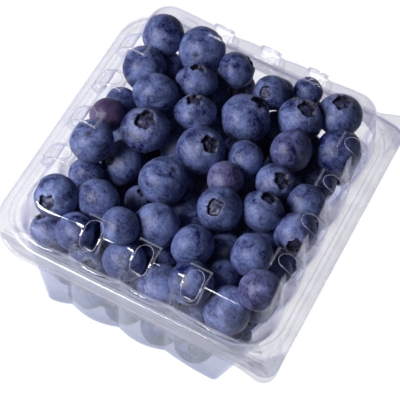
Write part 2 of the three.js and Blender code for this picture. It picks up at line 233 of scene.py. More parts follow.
END_REACH = 3.0  # a straight side goes on at least this far
KNEE = 0.6  # the share of a short side that isn't squeezed
GRID = 2.0  # between points of a plain stretch
CREASE_ROUNDING = 0.25
NEAR_CREASE = (-1.3, -0.8, -0.45, -0.22, -0.08, 0.0, 0.08, 0.22, 0.45, 0.8, 1.3)
NEAR_CHEEK = (-0.7, -0.4, -0.25, -0.12, 0.0, 0.1, 0.35)
CHEEK = {"outside": 0.1, "inside": 0.4}  # a rib's side rises from outside its width to inside
CHEEK_ROUNDNESS = 3
END_STEPS = 8
CORNER_STEPS = 20


def steady_places(vents, reach):
    """Places along the middle of a side: close together at each crease and vent cheek."""
    marks = [c + d for c in creases_of(vents) for d in NEAR_CREASE]
    half = VENT["width"] / 2
    marks += [v * PITCH + s * (half + d) for v in vents for s in (-1, 1) for d in NEAR_CHEEK]
    grid = np.arange(-reach, reach + GRID / 2, GRID)
    free = [g for g in grid if min(abs(g - m) for m in marks) > GRID / 3]
    return np.array(sorted({-reach, reach, *marks, *free}))


def softened(away):
    """Distances from a crease, rounded off close to it."""
    return np.sqrt(away ** 2 + CREASE_ROUNDING ** 2) - CREASE_ROUNDING


def drawn_in(along, start, end, vents):
    """How far the wall is drawn in at each place, 0 to 1: lobes that meet in creases."""
    creases = creases_of(vents)
    first, last = creases[0], creases[-1]
    phase = ((along - first) / PITCH) % 1
    lobes = (1 - 2 * softened(np.minimum(phase, 1 - phase) * PITCH) / PITCH) ** 2
    before = softened(np.maximum(first - along, 0)) / (first - start)
    after = softened(np.maximum(along - last, 0)) / (end - last)
    lobes = np.where(along < first, np.clip(1 - before, 0, 1) ** 2, lobes)
    return np.where(along > last, np.clip(1 - after, 0, 1) ** 2, lobes)


def squeeze(along, start, end, wide_start, wide_end):
    """Places along a wide side moved onto a shorter one. Its middle part stays."""
    low, high = KNEE * start, KNEE * end
    before = low + (along - low) * (start - low) / (wide_start - low)
    after = high + (along - high) * (end - high) / (wide_end - high)
    return np.where(along < low, before, np.where(along > high, after, along))


def rib_share(along, vents):
    """1 on a vent's rib, 0 beside it. The rib's sides rise steeply and are round on top."""
    nearest = np.min([np.abs(along - v * PITCH) for v in vents], axis=0)
    beside = (nearest - VENT["width"] / 2 + CHEEK["inside"]) / (CHEEK["inside"] + CHEEK["outside"])
    return np.sqrt(1 - np.clip(beside, 0, 1) ** CHEEK_ROUNDNESS)


def on_rib(outward, height, wall):
    """The place on a vent's crest for each place (outward, height) of the plain shoulder."""
    foot, top, low = wall["foot"], wall["top"], HEIGHT - wall["drop"]
    bend, crown = top - VENT["flat"], HEIGHT + VENT["rise"]
    reach = top + wall["reach"] - bend
    rise = VENT["rise"] * smoothstep(0, VENT["rise"] / 2, outward - (top - VENT["inset"]))
    wall_out = foot + (top - foot) * wall_share(low)
    proud = max(bend + reach - wall_out, 0) * smoothstep(low - VENT["foot"], low, height)
    across, up = np.maximum(outward - bend, TINY), np.maximum(height - low, TINY)
    scale = 1 / np.sqrt((across / reach) ** 2 + (up / (crown - low)) ** 2)
    on_panel, on_wall = outward <= bend, height <= low
    rib_out = np.where(on_panel, outward, np.where(on_wall, outward + proud, bend + scale * across))
    rib_z = np.where(on_panel, height + rise, np.where(on_wall, height, low + scale * up))
    return rib_out, rib_z


def side_of_ring(length, out, radii, wall, z, lobe, ribs):
    """One side of a ring and the corner after it: places along it, outward and up."""
    vents, reach = wall["vents"], wall["steady"]
    start, end = radii[0] - length / 2, length / 2 - radii[1]
    wide_start, wide_end = min(start, -reach - END_REACH), max(end, reach + END_REACH)
    step = np.arange(END_STEPS) / END_STEPS
    along = np.concatenate([wide_start + (-reach - wide_start) * step,
                            steady_places(vents, reach),
                            reach + (wide_end - reach) * (step + 1 / END_STEPS)])
    outward = out - lobe * drawn_in(along, wide_start, wide_end, vents)
    height = np.full_like(along, z)
    if ribs:
        share = rib_share(along, vents)
        rib_out, rib_z = on_rib(outward, height, wall)
        outward = outward + (rib_out - outward) * share
        height = height + (rib_z - height) * share
    along = squeeze(along, start, end, wide_start, wide_end)
    angle = np.arange(1, CORNER_STEPS) / CORNER_STEPS * math.pi / 2
    return (np.concatenate([along, end + radii[1] * np.sin(angle)]),
            np.concatenate([outward, out - radii[1] * (1 - np.cos(angle))]),
            np.concatenate([height, np.full(len(angle), z)]))


def ring(outline, z, lobe=0.0, ribs=False, tabs=None, crease=False):
    """One closed ring of points, counter-clockwise from above."""
    x, y, r, r_hinge = vars(outline).values()
    corners = ((r_hinge, r), (r, r), (r, r_hinge), (r_hinge, r_hinge))
    parts = []
    for quarter, (c, s) in enumerate(QUARTER_TURNS):
        length, across = (y, x) if quarter % 2 else (x, y)
        along, outward, height = side_of_ring(length, across / 2, corners[quarter],
                                              wall_of(quarter), z, lobe, ribs)
        parts.append(np.stack([c * along + s * outward, s * along - c * outward, height], 1))
    points = np.concatenate(parts)
    if tabs:
        bend_tabs(points, tabs, crease)
    return points


def bend_tabs(points, tabs, crease):
    """Past the tabs' creases a ring bends up or down, or stops on the crease."""
    past = np.maximum(points[:, 0] + np.abs(points[:, 1]) - TAB_CREASE, 0)
    if crease:
        points[:, 0] -= past / 2
        points[:, 1] -= np.sign(points[:, 1]) * past / 2
    else:
        points[:, 2] += past * np.where(points[:, 1] < 0, tabs["front"], tabs["back"])


def between(first, second, shares):
    """Rings between two rings."""
    return [first + (second - first) * share for share in shares]


def sheet_of(name, rings, closed_end):
    """A sheet through the rings. A fan closes it in the ring closed_end, 0 or -1."""
    numbers = np.arange(len(rings) * len(rings[0])).reshape(len(rings), -1).tolist()
    faces = []
    for lower, upper in zip(numbers, numbers[1:]):
        faces += band(lower, upper)
    edge = numbers[closed_end]
    middle = numbers[-1][-1] + 1
    for a, b in zip(edge, edge[1:] + edge[:1]):
        faces.append((a, b, middle) if closed_end == -1 else (b, a, middle))
    points = np.concatenate([*rings, [[0, 0, rings[closed_end][0, 2]]]])
    return mesh_object(name, points, faces)


# ---- holes

def pill(length, width, steps):
    """The outline of a bar with round ends, long in its second direction."""
    radius = width / 2
    reach = length / 2 - radius
    points = []
    for sign in (1, -1):
        for i in range(steps + 1):
            angle = math.pi * i / steps + (0 if sign > 0 else math.pi)
            points.append((radius * math.cos(angle), sign * reach + radius * math.sin(angle)))
    return points


def prisms(name, outlines):
    """One mesh of closed prisms, each from its two end outlines."""
    points, faces = [], []
    for lower, upper in outlines:
        first = range(len(points), len(points) + len(lower))
        second = range(first.stop, first.stop + len(upper))
        points += lower + upper
        faces += band(first, second) + [tuple(reversed(first)), tuple(second)]
    obj = mesh_object(name, points, faces)
    cleaned = bmesh.new()
    cleaned.from_mesh(obj.data)
    bmesh.ops.recalc_face_normals(cleaned, faces=cleaned.faces)
    cleaned.to_mesh(obj.data)
    cleaned.free()
    return obj


# ---- painted highlights, flange streaks, and the dull tint with painted shade

# Painted highlights: pale marks laid along the walls' creases and on the ribs' edges, where the
# lights' reflections and glints fall.
CREASE_HIGHLIGHT_REACH = 0.7  # how far the painted highlight along a crease reaches
CREASE_HIGHLIGHTS = {"lid": 0.3, "base": 0.8}
RIB_HIGHLIGHTS = (1.0, 0.35, 0.1, 0.7)  # front, right, back and hinged side
RIB_STEP_HIGHLIGHT = {"before": 0.15, "beside": 0.2, "below": 0.1}  # how far its mark goes past it
RIB_CHEEK_HIGHLIGHT = {"inside": 0.35, "outside": 0.15, "pale": 0.8}
RUBBED_OFF_THE_LIT_FRONT = 0.12  # how strong the flange's scratches are where it isn't the front, which has 1: faint on the sides that the key light leaves in shade, full on the lit front
# Painted shade: the base's plastic is tinted greyer low down, fading out between these heights, as
# shade under the heap; the tabs get a plain duller tint.
DULL_AND_SHADE = {"tab": 0.35, "foot": 0.8, "shade_fades": (2, 18)}


def rib_highlights(along, outward, z, wall):
    """Painted highlight: 1 on the step that each rib makes in the panel, less on one side of a rib.
    """
    offsets = np.array([along - v * PITCH for v in wall["vents"]])
    beside = np.take_along_axis(offsets, np.abs(offsets).argmin(0)[None], 0)[0]
    half = VENT["width"] / 2
    step = outward - (wall["top"] - VENT["inset"])
    on_step = ((step > -RIB_STEP_HIGHLIGHT["before"]) & (step < VENT["rise"])
               & (np.abs(beside) < half + RIB_STEP_HIGHLIGHT["beside"])
               & (z > HEIGHT - SHEET - RIB_STEP_HIGHLIGHT["below"]))
    on_cheek = ((beside > half - RIB_CHEEK_HIGHLIGHT["inside"]) & (beside < half + RIB_CHEEK_HIGHLIGHT["outside"])
                & (step > 0) & (z > HEIGHT - wall["drop"]))
    return on_step + on_cheek * RIB_CHEEK_HIGHLIGHT["pale"]


def crease_and_rib_highlights(x, y, z, on_side):
    """How strongly the walls' creases and the edges of the ribs are painted pale as highlights, 0
    away from them.
    """
    on_wall = (np.abs(z - SEAM_Z) > BEAD["height"] + SHELL) & (z > EDGE) & (z < HEIGHT - LID_EDGE)
    crease_highlight_share = on_wall * np.where(z > SEAM_Z, CREASE_HIGHLIGHTS["lid"], CREASE_HIGHLIGHTS["base"])
    marks = np.zeros(len(x))
    for quarter, pale in enumerate(RIB_HIGHLIGHTS):
        wall = wall_of(quarter)
        along, outward = along_and_out(x, y, quarter)
        away = (1 - crease_share(along, wall["vents"])) * PITCH / 2
        streaks = np.exp(-(away / CREASE_HIGHLIGHT_REACH) ** 2) * (np.abs(along) < wall["steady"])
        ribs = rib_highlights(along, outward, z, wall) * pale
        on_this = (on_side == bool(quarter % 2)) & (outward > 0)
        marks = np.maximum(marks, np.maximum(streaks * crease_highlight_share, ribs) * on_this)
    return marks


def mark_shell(shell):
    """Stores, at each point of a shell, what make_plastic() reads there."""
    x, y, z = np.array([vertex.co for vertex in shell.data.vertices]).T / MM
    from_side, from_front = FLANGE.x / 2 - np.abs(x), FLANGE.y / 2 - np.abs(y)
    on_side = from_side < from_front
    on_tab = x + np.abs(y) > TAB_CREASE
    shade_by_foot = 1 - smoothstep(*DULL_AND_SHADE["shade_fades"], z)
    # The crease attribute holds the painted highlights on creases and rib edges.
    set_attribute(shell, "crease", crease_and_rib_highlights(x, y, z, on_side))
    set_attribute(shell, "edge", np.minimum(from_side, from_front))
    # The flange's scratches are full on the lit front and faint on the sides in shade.
    set_attribute(shell, "rubbed", np.where((y < 0) & ~on_side, 1.0, RUBBED_OFF_THE_LIT_FRONT))
    # Painted shade towards the base's foot, and a duller tint on the tabs.
    set_attribute(shell, "dull_and_shade", np.maximum(on_tab * DULL_AND_SHADE["tab"], shade_by_foot * DULL_AND_SHADE["foot"]))


def finish_shell(shell, cutter, plastic):
    """Gives a sheet its thickness, its holes, its marks and its material."""
    thicken(shell)
    cut(shell, cutter)
    apply_modifiers(shell, SHARP_ANGLE)
    mark_shell(shell)
    bpy.data.objects.remove(cutter)
    shell.data.materials.append(plastic)


# ---- lid

BOSS = {"z": 61.5, "half_length": 4.4, "half_height": 3.4, "depth": 0.6, "rim": 0.6, "reach": 8}
BEAD_ROUNDNESS = 1.5  # over 1, the bead meets the flange gently
BEAD_STEPS = 9
EDGE_STEPS = 10
FLANGE_ROUNDING = ((0, 0.5), (0.08, 0.15), (0.3, 0))  # of each ring: inward, down
LID_FLANGE_SHARES = (0.3, 0.6, 0.9)  # places of rings from the rounding to the tabs' crease
BEFORE_BEAD = 0.5  # a ring of the plain flange, out from the bead
LID_FILLET = ((0.6, 0, 0), (0.2, 0.12, 0.5))  # of each ring: outward, up, share of the lobes
LID_WALL_START = 0.5  # over the flange
LID_WALL = (52.2, 53.4, 54.6, 55.8, 57.0, 58.0)  # heights of the rings below the ribs
RIBBED_WALL = {"from": 58.6, "step": 0.45}
# The panel's rings are close together where the ribs' ends rise from it.
PANEL = (3.2, 4.0, 4.8, 5.6, 6.4, 6.9, 7.2, 7.35, 7.5, 7.6, 7.7, 7.8, 7.9, 8.2, 9.5)
LOBES_END = 5  # how far in the panel's lobes run out
CREST_STEPS = 40
SLOT_CUTTER = (-1.5, 5.0)  # its ends, out from a vent's chord


def raise_bosses(points):
    """Raises small oval bulges by the corners of the walls."""
    for quarter, (c, s) in enumerate(QUARTER_TURNS):
        wall = wall_of(quarter)
        for place in wall["bosses"]:
            along, outward = along_and_out(points[:, 0], points[:, 1], quarter)
            away = np.hypot((along - place) / BOSS["half_length"],
                            (points[:, 2] - BOSS["z"]) / BOSS["half_height"])
            near = np.abs(outward - wall["boss_out"]) < BOSS["reach"]
            lift = BOSS["depth"] * (1 - smoothstep(1 - BOSS["rim"], 1, away)) * near
            points[:, 0] += s * lift
            points[:, 1] -= c * lift


def lid_rings():
    """The rings of the lid's outer face, from the flange's edge to the panel."""
    top = SEAM_Z + GAP / 2 + SHELL
    lobe = LOBE_DEPTH["lid"]
    rings = [ring(FLANGE.inset(inward), top - drop, tabs=LID_TABS)
             for inward, drop in FLANGE_ROUNDING]
    crease = ring(FLANGE.inset(LIP["width"]), top, tabs=LID_TABS, crease=True)
    rings += between(rings[-1], crease, LID_FLANGE_SHARES) + [crease]
    rings.append(ring(LID_FOOT.inset(-BEAD["to"] - BEFORE_BEAD), top))
    middle, half = (BEAD["from"] + BEAD["to"]) / 2, (BEAD["to"] - BEAD["from"]) / 2
    for angle in np.linspace(0, math.pi, BEAD_STEPS):
        rise = BEAD["height"] * math.sin(angle) ** BEAD_ROUNDNESS
        rings.append(ring(LID_FOOT.inset(-(middle + half * math.cos(angle))), top + rise))
    for out, rise, share in LID_FILLET:
        rings.append(ring(LID_FOOT.inset(-out), top + rise, lobe * share))
    ribbed = np.arange(RIBBED_WALL["from"], HEIGHT - LID_EDGE, RIBBED_WALL["step"])
    for z in (top + LID_WALL_START, *LID_WALL, *ribbed):
        rings.append(ring(LID_FOOT.towards(LID_TOP, wall_share(z)), z, lobe, ribs=True))
    for angle in np.linspace(0, math.pi / 2, EDGE_STEPS):
        inward, drop = LID_EDGE * (1 - math.cos(angle)), LID_EDGE * (1 - math.sin(angle))
        rings.append(ring(LID_TOP.inset(inward), HEIGHT - drop, lobe, ribs=True))
    for inward in PANEL:
        share = max(1 - inward / LOBES_END, 0)
        rings.append(ring(LID_TOP.inset(inward), HEIGHT, lobe * share, ribs=True))
    for points in rings:
        raise_bosses(points)
    return rings


def vent_crest(wall):
    """The crest of a vent, from the panel down the wall, as (outward, z) points."""
    low, crown = HEIGHT - wall["drop"], HEIGHT + VENT["rise"]
    bend = wall["top"] - VENT["flat"]
    reach = wall["top"] + wall["reach"] - bend
    angle = np.linspace(math.pi / 2, 0, CREST_STEPS)
    curve = np.stack([bend + reach * np.cos(angle), low + (crown - low) * np.sin(angle)], 1)
    return np.concatenate([[[wall["top"] - SLOT["inset"], crown]], curve])


def all_vents():
    """Each vent: its wall, its place along it, its crest and the share that its hole takes."""
    return [{"quarter": quarter, "along": v * PITCH, "crest": vent_crest(wall_of(quarter)),
             "share": SLOT["back_share"] if quarter == 2 else 1}
            for quarter in range(4) for v in wall_of(quarter)["vents"]]


def chord(crest):
    """The straight line under a vent's bend: its middle, its direction and its length."""
    across = crest[-1] - crest[0]
    length = np.hypot(*across)
    return (crest[0] + crest[-1]) / 2, across / length, length


def on_vent(vent, across, down, lift):
    """A point given across a vent, down along its chord and out of it."""
    middle, (do, dz), _ = chord(vent["crest"])
    outward = middle[0] + do * down - dz * lift
    z = middle[1] + dz * down + do * lift
    turn = vent["quarter"] * math.pi / 2
    x, y = vent["along"] + across, -outward
    c, s = math.cos(turn), math.sin(turn)
    return c * x - s * y, s * x + c * y, z


def crest_lift(crest, down):
    """How far the crest stands out over its chord, at a place along the chord."""
    middle, direction, _ = chord(crest)
    offset = crest - middle
    along = offset @ direction
    lift = offset @ np.array([-direction[1], direction[0]])
    return np.interp(down, along, lift)


def slot_outline(vent):
    """The outline of a vent's hole, across and down the chord."""
    whole = chord(vent["crest"])[2]
    length = whole * vent["share"]
    shift = (length - whole) / 2
    outline = pill(length - 2 * SLOT["margin"], SLOT["width"], SLOT["steps"])
    return [(across, down + shift) for across, down in outline]


def make_lid(plastic):
    lid = sheet_of("lid_shell", lid_rings(), -1)
    outlines = [[[on_vent(vent, across, down, lift) for across, down in slot_outline(vent)]
                 for lift in SLOT_CUTTER] for vent in all_vents()]
    finish_shell(lid, prisms("slot_cutter", outlines), plastic)
    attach(lid, "lid")
    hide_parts("punnet_lid")


# ---- the vents' cut edges, pale, with painted highlight

RIM = {"radius": 0.12, "sides": 6}
# How pale each wall's cut edges are: pale as punched plastic is, and paler on the walls whose edges
# catch the light, as painted highlight.
RIM_PALENESS_AND_HIGHLIGHT = (1.0, 0.8, 0.25, 0.5)  # front, right, back and hinged side


def unit(vectors):
    return vectors / np.linalg.norm(vectors, axis=1)[:, None]


def tube_round(loop):
    """A ring of points round each point of a closed line."""
    forward = unit(np.roll(loop, -1, 0) - np.roll(loop, 1, 0))
    aside = unit(np.cross(forward, loop - loop.mean(0)))
    inward = np.cross(forward, aside)
    angle = np.arange(RIM["sides"])[:, None] / RIM["sides"] * 2 * math.pi
    across = aside[:, None] * np.cos(angle) + inward[:, None] * np.sin(angle)
    return loop[:, None] + RIM["radius"] * across


def make_vent_rims(material):
    """The pale cut edge round each vent, with a painted highlight that differs from wall to wall.
    """
    points, faces, pale = [], [], []
    for vent in all_vents():
        loop = [on_vent(vent, across, down, crest_lift(vent["crest"], down) - SHEET / 2)
                for across, down in slot_outline(vent)]
        tube = tube_round(np.array(loop)).reshape(-1, 3)
        numbers = (len(points) + np.arange(len(tube))).reshape(len(loop), -1).tolist()
        for j, here in enumerate(numbers):
            faces += band(here, numbers[(j + 1) % len(numbers)])
        points += tube.tolist()
        pale += [RIM_PALENESS_AND_HIGHLIGHT[vent["quarter"]]] * len(tube)
    rims = mesh_object("vent_rims", points, faces)
    set_attribute(rims, "pale", pale)
    rims.data.materials.append(material)
    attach(rims, "lid")


# ---- base

FOOT_RINGS = ((12, 0.6, 0), (8, 0.6, 0), (7, 0.3, 1 / 3), (6, 0, 1 / 2), (3, 0, 1))
FOOT_STEPS = 6
BASE_WALL_STEPS = 16
BASE_WALL_END = 1.0  # below the flange
BASE_FILLET = ((0.15, 0.4, 0.9), (0.5, 0.1, 0.6), (1.2, 0, 0))
CREASE_INSET = 0.6  # inward from the lid's crease of the tabs
LIP_ROUNDING = ((0.15, 0.15), (0, 0.5))  # of each ring: inward, down
LIP_START = 0.5  # inward from the lip, where its rounding starts
BASE_FLANGE_SHARES = (0.15, 0.5, 0.8)  # places of rings from the tabs' crease to the lip
DRAIN_CUTTER = (-2.0, 3.0)  # its ends


def base_rings():
    """The rings of the base's outer face, from the raised middle of its foot to its lip.
    FOOT_RINGS holds inward, up and the share of the lobes, BASE_FILLET outward, down and it."""
    top = SEAM_Z - GAP / 2
    under = top - SHEET
    lobe = LOBE_DEPTH["base"]
    rings = [ring(BASE_FOOT.inset(inward), z, lobe * share) for inward, z, share in FOOT_RINGS]
    for angle in np.linspace(0, math.pi / 2, FOOT_STEPS):
        inward, z = EDGE * (1 - math.sin(angle)), EDGE * (1 - math.cos(angle))
        rings.append(ring(BASE_FOOT.inset(inward), z, lobe))
    low, high = EDGE, under - BASE_WALL_END
    for i in range(1, BASE_WALL_STEPS + 1):
        share = i / BASE_WALL_STEPS
        outline = BASE_FOOT.towards(BASE_TOP, share * (high - low) / (SEAM_Z - low))
        rings.append(ring(outline, low + (high - low) * share, lobe))
    for out, drop, share in BASE_FILLET:
        rings.append(ring(BASE_TOP.inset(-out), under - drop, lobe * share))
    crease = ring(FLANGE.inset(LIP["width"] + CREASE_INSET), under, tabs=BASE_TABS, crease=True)
    lip = ring(FLANGE.inset(SHEET + LIP_START), under, tabs=BASE_TABS)
    rings += [crease, *between(crease, lip, BASE_FLANGE_SHARES), lip]
    for inward, drop in LIP_ROUNDING:
        rings.append(ring(FLANGE.inset(SHEET + inward), under - drop, tabs=BASE_TABS))
    rings.append(ring(FLANGE.inset(SHEET), top - LIP["height"], tabs=BASE_TABS))
    return rings


def make_base(plastic):
    base = sheet_of("base_shell", base_rings(), 0)
    shape = pill(DRAIN["length"], DRAIN["width"], DRAIN["steps"])
    middles = [(column * DRAIN["pitch"], row * DRAIN["pitch"])
               for row in DRAIN["rows"] for column in DRAIN["columns"]]
    outlines = [[[(x + a, y + b, z) for a, b in shape] for z in DRAIN_CUTTER] for x, y in middles]
    finish_shell(base, prisms("drain_cutter", outlines), plastic)
    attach(base, "base")
    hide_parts("punnet_base")


# ---- where the berries lie

# The berries that lie uppermost: the middle (x, y, z) and the diameter of each.
TOP_BERRIES = [
    (-43.7, 47.8, 61, 16.3), (-27.8, 52.2, 60, 18.2), (-45.7, 30.9, 56.1, 16.9),
    (-34.7, 40.9, 53, 11.2), (-31.5, 19.4, 60.5, 17.1), (-20.8, 34.7, 61.3, 15.7),
    (-45.7, 17.1, 49.4, 11.8), (-44.7, 5.6, 53.2, 13.1), (-44.8, -13, 59.9, 16.3),
    (-27.5, 2.7, 59.9, 18.3), (-31.2, -6.9, 46.2, 17), (-39.8, -19.9, 47.3, 13.4),
    (-42.7, -42.3, 59.7, 16), (-27.6, -35.9, 60, 15.6), (-10.6, -15.6, 60.2, 17.6),
    (-14.3, 19.4, 61.1, 15.9), (-4.5, 4.2, 59.9, 18.3), (-16.6, -19.9, 48.2, 11.5),
    (-9.5, 47, 60.8, 14.2), (7.4, 42.1, 62.4, 13.2), (8.9, 53.9, 54.3, 12.6),
    (4.1, 28.9, 59.4, 19.3), (23.1, 39.8, 60.5, 17.1), (19.8, 51.7, 61.8, 11),
    (34.6, 53.4, 60.6, 17.2), (25.7, 22.5, 61, 16.2), (43.6, 34.4, 57.4, 17.8),
    (11.9, 10.3, 59.5, 13.8), (9.4, -2.6, 60.1, 13.6), (26.5, 6.2, 60, 14.4),
    (40.3, 5, 57.3, 15.1), (-14.5, -44, 62, 13.9), (-3.1, -34.3, 58.5, 17),
    (-9, -50.5, 52, 15.5), (-29.4, -51, 56.6, 14), (17.2, -49.8, 56.7, 16.1),
    (11.7, -35.9, 59.3, 15.5), (13.4, -16.5, 60.6, 16.5), (27.7, -8.5, 60.1, 15.8),
    (32.6, -27.9, 60, 15.5), (43.2, -9.1, 57.3, 15.8), (42.3, -22.3, 50, 11.2),
    (41.4, -42.1, 61.4, 15.2), (25.3, -35.1, 50, 12.6), (34.3, -49.1, 51.1, 17.6),
]
LAYERS = (9.5, 22, 34.5, 47)  # heights of the layers below them
SPACING = {"x": 15.5, "y": 14}
SIZES = {"least": 12.5, "most": 17}
SCATTER = 2
ROOMINESS = 0.7  # of two radii: a berry nearer to another is left out
SEED = 7
GENERATOR = {"factor": 16807, "modulus": 2147483647}
SETTLING = {"rounds": 60, "yield_of_top": 0.12, "closeness": 0.95}
BERRY_CLEARANCE = -0.4  # the outer berries are pressed flat against the sheet
WALL_SLANT = 1.08  # a slanting wall keeps a berry off by more than its radius
CORE = {"depth": 14.0, "top": 38.0}


def room_at(z):
    """Half the inside of the closed punnet at height z, and its corner radius."""
    in_base = z < SEAM_Z
    low, high = (BASE_FOOT, BASE_TOP) if in_base else (LID_FOOT, LID_TOP)
    u = z / SEAM_Z if in_base else (z - SEAM_Z) / (HEIGHT - SEAM_Z)
    room = low.towards(high, u)
    return room.x / 2 - SHEET, room.y / 2 - SHEET, room.r


def confine(berry):
    """Keeps a berry clear of the floor, the top, the walls and the corners."""
    need = berry["radius"] + BERRY_CLEARANCE
    berry["z"] = min(max(berry["z"], SHEET + need), HEIGHT - SHEET - need)
    room_x, room_y, corner = room_at(berry["z"])
    lobe = LOBE_DEPTH["base"] if berry["z"] < SEAM_Z + need else LOBE_DEPTH["lid"]
    radius = max(corner - need, 0)
    x, y = berry["x"], berry["y"]
    past = {}
    for axis, room, along, vents in (("x", room_x, -y if x < 0 else y, SIDE_VENTS),
                                     ("y", room_y, x if y < 0 else -x, FRONT_VENTS)):
        reach = room - need * WALL_SLANT - lobe * crease_share(along, vents)
        berry[axis] = min(max(berry[axis], -reach), reach)
        past[axis] = abs(berry[axis]) - (reach - radius)
    far = math.sqrt(past["x"] * past["x"] + past["y"] * past["y"])
    if min(past.values()) > 0 and far > radius:
        for axis, over in past.items():
            berry[axis] -= math.copysign(1, berry[axis]) * over * (1 - radius / far)


def make_random(seed):
    """The solids' random numbers, so that both heaps are the same."""
    state = seed

    def draw():
        nonlocal state
        state = (state * GENERATOR["factor"]) % GENERATOR["modulus"]
        return state / GENERATOR["modulus"]

    return draw


def distance(a, b):
    dx, dy, dz = b["x"] - a["x"], b["y"] - a["y"], b["z"] - a["z"]
    return math.sqrt(dx * dx + dy * dy + dz * dz)


def fits(berry, others, room_x, room_y):
    """Whether a berry is inside the walls and not deep in another."""
    if abs(berry["x"]) >= room_x - berry["radius"] / 2:
        return False
    if abs(berry["y"]) >= room_y - berry["radius"] / 2:
        return False
    return not any(distance(berry, other) < ROOMINESS * (berry["radius"] + other["radius"])
                   for other in others)


def place_berries():
    """The top berries, then those of each layer that fit below them."""
    berries = [{"x": x, "y": y, "z": z, "radius": size / 2, "yields": SETTLING["yield_of_top"],
                "top": index} for index, (x, y, z, size) in enumerate(TOP_BERRIES)]
    draw = make_random(SEED)

    def spread(middle, half):
        return middle + half * (2 * draw() - 1)

    for layer, height in enumerate(LAYERS):
        room_x, room_y, _ = room_at(height)
        rows = math.floor(room_y / SPACING["y"])
        columns = math.floor(room_x / SPACING["x"]) + 1
        for row in range(-rows, rows + 1):
            for column in range(-columns, columns + 1):
                shift = 0 if (row + layer) % 2 == 0 else 0.5
                berry = {"x": spread((column + shift) * SPACING["x"], SCATTER),
                         "y": spread(row / rows * (room_y - SIZES["most"] / 2), SCATTER),
                         "z": spread(height, SCATTER),
                         "radius": spread(SIZES["least"] + SIZES["most"],
                                          SIZES["most"] - SIZES["least"]) / 4,
                         "yields": 1, "top": None}
                if fits(berry, berries, room_x, room_y):
                    berries.append(berry)
    return berries


def settle(berries):
    """Moves apart berries that overlap, those below more than those on top."""
    for _ in range(SETTLING["rounds"]):
        for i, a in enumerate(berries):
            for b in berries[i + 1:]:
                gap = distance(a, b)
                push = (a["radius"] + b["radius"]) * SETTLING["closeness"] - gap
                if push > 0:
                    share = push / gap / (a["yields"] + b["yields"])
                    for axis in "xyz":
                        step = (b[axis] - a[axis]) * share
                        a[axis] -= step * a["yields"]
                        b[axis] += step * b["yields"]
        for berry in berries:
            confine(berry)
    return berries


def is_outer(berry):
    room_x, room_y, _ = room_at(berry["z"])
    deep = CORE["depth"] + berry["radius"]
    return (berry["z"] > CORE["top"] or berry["z"] < deep
            or abs(berry["x"]) > room_x - deep or abs(berry["y"]) > room_y - deep)


# ---- the berries' shapes

# The ends that top berries show, crown or stem, by the berry's place in TOP_BERRIES, and each
# end's direction as (right, up) in the camera's view. The other top berries show none.
ENDS = {
    1: ("stem", -0.26, -0.33), 3: ("stem", 0, 0.45), 5: ("crown", 0.1, 0.86),
    8: ("stem", -0.08, 0.35), 9: ("crown", -0.03, 0.5), 10: ("crown", -0.75, 0.2),
    12: ("crown", -0.38, -0.36), 14: ("stem", 0.49, 0.5), 15: ("crown", 0.02, 0.8),
    16: ("crown", 0.35, 0.28), 17: ("crown", 0.25, 0.6), 18: ("crown", 0.9, 0.4),
    19: ("crown", -0.4, 0), 21: ("crown", 0.6, 0.65), 22: ("crown", 0.33, 0.5),
    24: ("crown", 0.05, 0.6), 29: ("crown", 0.4, 0.15), 37: ("crown", -0.27, 0.1),
    38: ("crown", 0.4, 0.75), 40: ("crown", 0, -0.6),
}
NO_END = ("none", 0, 0)
# The height over the width of the top berries that aren't nearly round.
FLATNESS = {
    1: 0.9, 2: 0.93, 4: 0.9, 5: 0.74, 8: 0.93, 9: 0.72, 10: 0.78, 13: 0.9, 15: 0.72, 16: 0.9,
    17: 0.9, 18: 0.9, 19: 0.92, 21: 0.92, 24: 0.85, 25: 0.9, 26: 0.93, 29: 0.9, 32: 0.88, 33: 0.9,
    36: 0.88, 38: 0.88, 44: 0.93,
}
NEARLY_ROUND = 0.95
HIDDEN_POLE = {"aside": 0.75, "towards": -0.66}  # how a berry without an end in view is turned
LOWER_TURNS = {"reach": (0.1, 0.9), "flat": (0.82, 0.95)}
PURPLE = {7: 1.0, 28: 0.5, 42: 0.35, 25: 0.25}  # how unripe some top berries are
BLOOMED = {28: 1.0, 0: 0.6, 10: 1.0, 30: 0.5, 5: 0.6}  # how much bloom some of them keep

# A berry's sizes are shares of its radius, and a crown's radii shares of its rim.
CROWN = {"rim": 0.5, "rim_range": (0.85, 1.1), "depth": 0.13, "depth_range": (0.8, 1.2),
         "lift": 0.06, "lobes": 5, "notch_power": 1.4, "notch_lift": 0.8, "fades": (0.92, 1.35)}
OPENING = {"least": 0.66, "notch": 0.10, "ragged": 0.08, "waves": (1, 2, 3, 4, 7, 9, 13),
           "edge": (0.10, 0.05), "torn_and_shaded": 0.05, "torn_and_shaded_width": 0.10}
CREST = {"ragged": 0.35, "waves": (1, 2, 3)}  # how uneven the height of the torn rim is
PISTIL = {"height": 0.05, "radius": 0.2}
CREASED_FLOOR = {"height": 0.02, "rings": 9, "waves": 3}
FLOOR_SHARE = 0.5  # the crown share on its floor; its torn edge, painted dark as the shade in the crown's hollow, has 1
STEM = {"dimple": 0.06, "dimple_angle": 0.16, "scar_angle": 0.11, "middle": 0.07}
TOP_SINKS = 0.8  # of the crown's depth, at its middle
CROWN_RINGS = (0.15, 0.3, 0.42, 0.5, 0.56, 0.62, 0.68, 0.74, 0.8, 0.86, 0.93, 1.0, 1.1, 1.22, 1.35)
ROW_CROWDING = 0.92  # rows come a little closer towards the stem
UNEVENNESS = ((1.4, 0.05), (3.5, 0.012))  # noise scale over the unit ball, and its share
NOISE_REACH = 50  # each berry's unevenness comes from its own part of the noise
WAVE_FADING = 0.6
SKIN_GAP = {"base": 0.5, "lid": 0.12}  # left between a pressed berry and the sheet
